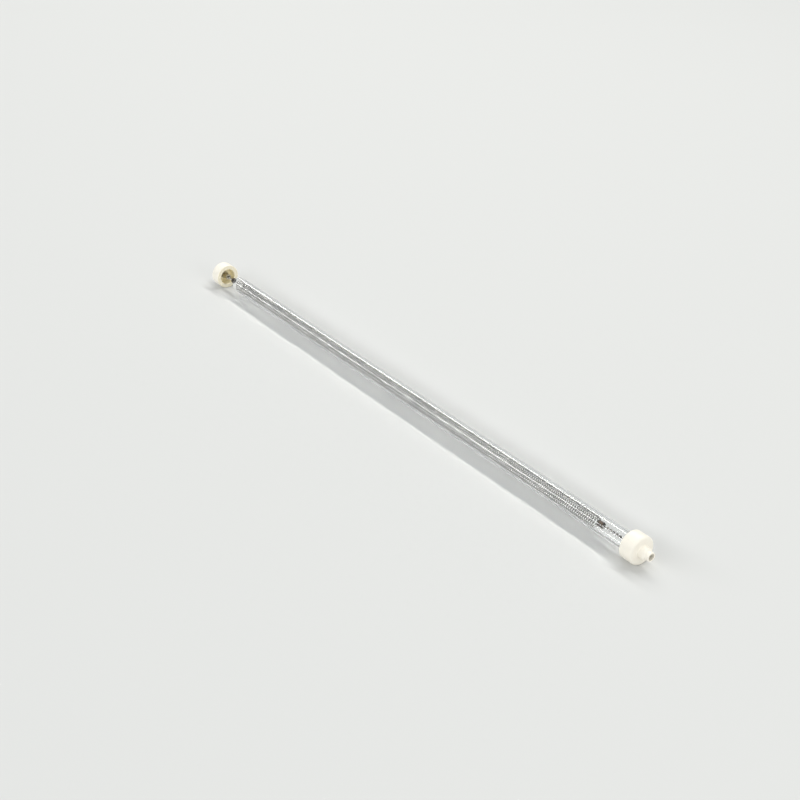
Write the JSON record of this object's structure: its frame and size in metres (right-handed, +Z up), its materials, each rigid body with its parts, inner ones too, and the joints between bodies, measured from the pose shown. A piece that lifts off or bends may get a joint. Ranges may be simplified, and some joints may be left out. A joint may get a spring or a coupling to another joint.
{
  "type": "quartz infrared heating element",
  "caption": "Long clear quartz tube holding a wound resistance coil on twisted tails, with a stepped ceramic end cap and a recessed terminal at each end.",
  "frame": {"origin": "middle of the whole element's box, on the tube axis", "axes": "+X along the tube towards the supply end, +Z up as the element lies on a table"},
  "size_m": [0.5508, 0.0204, 0.0206],
  "materials": {
    "quartz": "clear fused quartz, polished",
    "resistance_wire": "drawn nickel chromium wire, lightly oxidised",
    "oxidised_steel": "dark oxidised crimped ferrule",
    "nickel": "turned, dull nickel plate",
    "steatite": "unglazed pressed steatite, cream white"
  },
  "bodies": {
    "supply_end": {"near_end_cap": "steatite", "near_terminal": "nickel", "near_tail": "resistance_wire", "near_splice": "oxidised_steel", "heating_coil": "resistance_wire"},
    "tube": {"quartz_tube": "quartz"},
    "loose_end": {"far_end_cap": "steatite", "far_terminal": "nickel", "far_tail": "resistance_wire", "far_splice": "oxidised_steel"}
  },
  "joints": [
    {"name": "tube_turn", "type": "hinge", "parent": "supply_end", "child": "tube", "pos_m": [0.2, 0, 0], "axis": [1, 0, 0], "continuous": true},
    {"name": "loose_cap_slide", "type": "slide", "parent": "supply_end", "child": "loose_end", "axis": [1, 0, 0], "range_m": [0, 0.0252], "stiffness_N_per_m": 12.3, "deforming": ["heating_coil"]}
  ]
}
